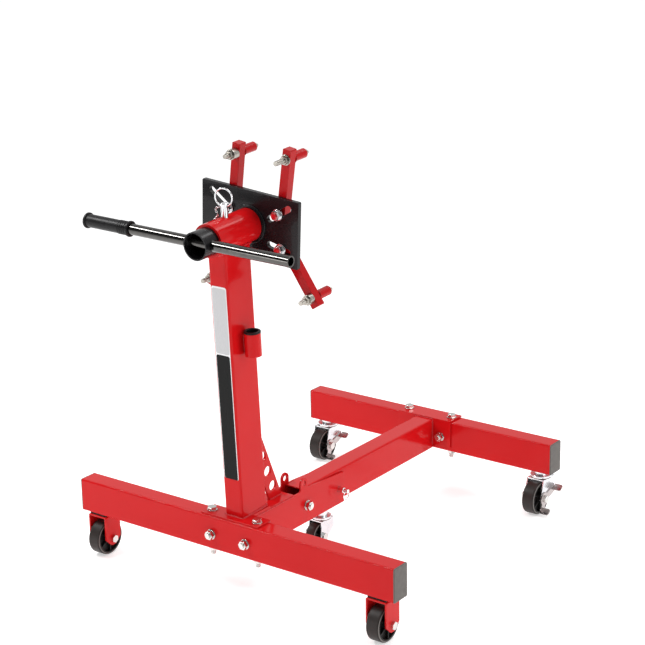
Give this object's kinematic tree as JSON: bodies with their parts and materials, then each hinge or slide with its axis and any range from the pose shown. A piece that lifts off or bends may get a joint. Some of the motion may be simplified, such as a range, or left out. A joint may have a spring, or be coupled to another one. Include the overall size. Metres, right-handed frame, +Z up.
{
  "type": "engine stand",
  "caption": "Folding engine stand on casters: leaning post, rotating head with slotted faceplate, swing arms and cross handle, braked swivel casters.",
  "frame": {"origin": "on the floor, at the middle of the stand's footprint", "axes": "+Z up, +Y from the handle side towards the engine side, +X to the right seen from the handle side"},
  "size_m": [0.906, 0.9549, 1.0371],
  "materials": {
    "red_paint": "gloss enamel",
    "black_gloss": "gloss enamel",
    "black_plastic": "moulded, slightly rough",
    "black_rubber": "satin grip rubber",
    "zinc": "bright zinc plate",
    "bolt_steel": "bright zinc plated fasteners",
    "wheel_black": "moulded wheel",
    "label": "printed label, no lettering"
  },
  "bodies": {
    "stand": {"front_crossbeam": "red_paint", "front_beam_caps": "black_plastic", "base_bracket": "red_paint", "base_channel": "red_paint", "channel_cover": "red_paint", "post": "red_paint", "brace": "red_paint", "head_tube": "red_paint", "handle_holder": "red_paint", "holder_liner": "black_rubber", "post_label": "label", "front_bolts": "bolt_steel", "front_nuts": "bolt_steel", "pivot_bolt": "bolt_steel", "fork_spacers": "black_plastic", "rigid_fork_left": "red_paint", "rigid_fork_right": "red_paint", "front_axles": "bolt_steel", "middle_stem": "zinc"},
    "rear_frame": {"centre_beam": "red_paint", "rear_bracket": "red_paint", "rear_crossbeam": "red_paint", "rear_beam_caps": "black_plastic", "rear_bolts": "bolt_steel", "rear_nuts": "bolt_steel", "rear_stems": "zinc"},
    "head": {"shaft": "black_gloss", "shaft_collar": "black_gloss", "faceplate": "black_gloss"},
    "handle": {"handle_bar": "black_gloss", "handle_grip": "black_rubber"},
    "head_pin": {"lock_pin": "bolt_steel"},
    "head_pin_ring": {"lock_ring": "bolt_steel"},
    "frame_pin": {"fold_pin": "bolt_steel"},
    "frame_pin_ring": {"fold_ring": "bolt_steel"},
    "front_wheel_l": {"front_wheel_left": "wheel_black"},
    "front_wheel_r": {"front_wheel_right": "wheel_black"},
    "middle_swivel": {"middle_fork": "zinc", "middle_axle": "bolt_steel"},
    "middle_roller": {"middle_wheel": "wheel_black"},
    "clamp_upper_left": {"clamp_bolt_upper_left": "bolt_steel"},
    "swing_arm_upper_left": {"arm_upper_left": "red_paint", "mount_bolt_upper_left": "bolt_steel"},
    "clamp_upper_right": {"clamp_bolt_upper_right": "bolt_steel"},
    "swing_arm_upper_right": {"arm_upper_right": "red_paint", "mount_bolt_upper_right": "bolt_steel"},
    "clamp_lower_left": {"clamp_bolt_lower_left": "bolt_steel"},
    "swing_arm_lower_left": {"arm_lower_left": "red_paint", "mount_bolt_lower_left": "bolt_steel"},
    "clamp_lower_right": {"clamp_bolt_lower_right": "bolt_steel"},
    "swing_arm_lower_right": {"arm_lower_right": "red_paint", "mount_bolt_lower_right": "bolt_steel"},
    "rear_swivel_left": {"swivel_fork_left": "zinc", "rear_axle_left": "bolt_steel"},
    "rear_roller_left": {"rear_wheel_left": "wheel_black"},
    "brake_left": {"brake_lever_left": "zinc"},
    "rear_swivel_right": {"swivel_fork_right": "zinc", "rear_axle_right": "bolt_steel"},
    "rear_roller_right": {"rear_wheel_right": "wheel_black"},
    "brake_right": {"brake_lever_right": "zinc"}
  },
  "joints": [
    {"name": "frame_fold", "type": "hinge", "parent": "stand", "child": "rear_frame", "pos_m": [0, -0.141, 0.144], "axis": [1, 0, 0], "range_deg": [0, 90]},
    {"name": "head_turn", "type": "hinge", "parent": "stand", "child": "head", "pos_m": [0, -0.36665, 0.85309], "axis": [0, 0.9986, 0.0523], "continuous": true},
    {"name": "handle_slide", "type": "slide", "parent": "head", "child": "handle", "axis": [0.9998, 0.001, -0.0192], "range_m": [-0.19, 0.165]},
    {"name": "lock_pin_push", "type": "slide", "parent": "stand", "child": "head_pin", "axis": [0, 0.0523, -0.9986], "range_m": [0, 0.017]},
    {"name": "lock_ring_swing", "type": "hinge", "parent": "head_pin", "child": "head_pin_ring", "pos_m": [0, -0.37683, 0.91364], "axis": [0.9744, 0.2246, 0.0118], "range_deg": [-80, 80]},
    {"name": "fold_pin_push", "type": "slide", "parent": "stand", "child": "frame_pin", "axis": [-1, 0, 0], "range_m": [0, 0.014]},
    {"name": "fold_ring_swing", "type": "hinge", "parent": "frame_pin", "child": "frame_pin_ring", "pos_m": [0.0515, -0.012, 0.14], "axis": [0, -1, 0], "range_deg": [0, 80]},
    {"name": "clamp_slide_upper_left", "type": "slide", "parent": "head", "child": "clamp_upper_left", "axis": [-0.7819, -0.0326, 0.6225], "range_m": [-0.0025, 0.0566]},
    {"name": "arm_swing_upper_left", "type": "hinge", "parent": "clamp_upper_left", "child": "swing_arm_upper_left", "pos_m": [-0.0559, -0.36824, 0.8835], "axis": [0, 0.9986, 0.0523], "range_deg": [-25, 25]},
    {"name": "clamp_slide_upper_right", "type": "slide", "parent": "head", "child": "clamp_upper_right", "axis": [0.8766, -0.0252, 0.4805], "range_m": [-0.0253, 0.0337]},
    {"name": "arm_swing_upper_right", "type": "hinge", "parent": "clamp_upper_right", "child": "swing_arm_upper_right", "pos_m": [0.08028, -0.36829, 0.88453], "axis": [0, 0.9986, 0.0523], "range_deg": [-25, 25]},
    {"name": "clamp_slide_lower_left", "type": "slide", "parent": "head", "child": "clamp_lower_left", "axis": [-0.9984, 0.0029, -0.0563], "range_m": [-0.0134, 0.0351]},
    {"name": "arm_swing_lower_left", "type": "hinge", "parent": "clamp_lower_left", "child": "swing_arm_lower_left", "pos_m": [-0.07362, -0.36503, 0.82235], "axis": [0, 0.9986, 0.0523], "range_deg": [-25, 25]},
    {"name": "clamp_slide_lower_right", "type": "slide", "parent": "head", "child": "clamp_lower_right", "axis": [0.9743, 0.0118, -0.2252], "range_m": [-0.0297, 0.0188]},
    {"name": "arm_swing_lower_right", "type": "hinge", "parent": "clamp_lower_right", "child": "swing_arm_lower_right", "pos_m": [0.08322, -0.36421, 0.80661], "axis": [0, 0.9986, 0.0523], "range_deg": [-25, 25]},
    {"name": "front_wheel_left_spin", "type": "hinge", "parent": "stand", "child": "front_wheel_l", "pos_m": [-0.405, -0.375, 0.0425], "axis": [1, 0, 0], "continuous": true},
    {"name": "front_wheel_right_spin", "type": "hinge", "parent": "stand", "child": "front_wheel_r", "pos_m": [0.405, -0.375, 0.0425], "axis": [1, 0, 0], "continuous": true},
    {"name": "rear_swivel_left_turn", "type": "hinge", "parent": "rear_frame", "child": "rear_swivel_left", "pos_m": [-0.331, 0.44, 0.06], "axis": [0, 0, 1], "continuous": true},
    {"name": "rear_wheel_left_spin", "type": "hinge", "parent": "rear_swivel_left", "child": "rear_roller_left", "pos_m": [-0.331, 0.415, 0.0425], "axis": [1, 0, 0], "continuous": true},
    {"name": "brake_left_press", "type": "hinge", "parent": "rear_swivel_left", "child": "brake_left", "pos_m": [-0.331, 0.415, 0.0425], "axis": [-1, 0, 0], "range_deg": [0, 14]},
    {"name": "rear_swivel_right_turn", "type": "hinge", "parent": "rear_frame", "child": "rear_swivel_right", "pos_m": [0.331, 0.44, 0.06], "axis": [0, 0, 1], "continuous": true},
    {"name": "rear_wheel_right_spin", "type": "hinge", "parent": "rear_swivel_right", "child": "rear_roller_right", "pos_m": [0.331, 0.415, 0.0425], "axis": [1, 0, 0], "continuous": true},
    {"name": "brake_right_press", "type": "hinge", "parent": "rear_swivel_right", "child": "brake_right", "pos_m": [0.331, 0.415, 0.0425], "axis": [-1, 0, 0], "range_deg": [0, 14]},
    {"name": "middle_swivel_turn", "type": "hinge", "parent": "stand", "child": "middle_swivel", "pos_m": [0, -0.045, 0.06], "axis": [0, 0, 1], "continuous": true},
    {"name": "middle_wheel_spin", "type": "hinge", "parent": "middle_swivel", "child": "middle_roller", "pos_m": [0, -0.063, 0.0325], "axis": [1, 0, 0], "continuous": true}
  ]
}
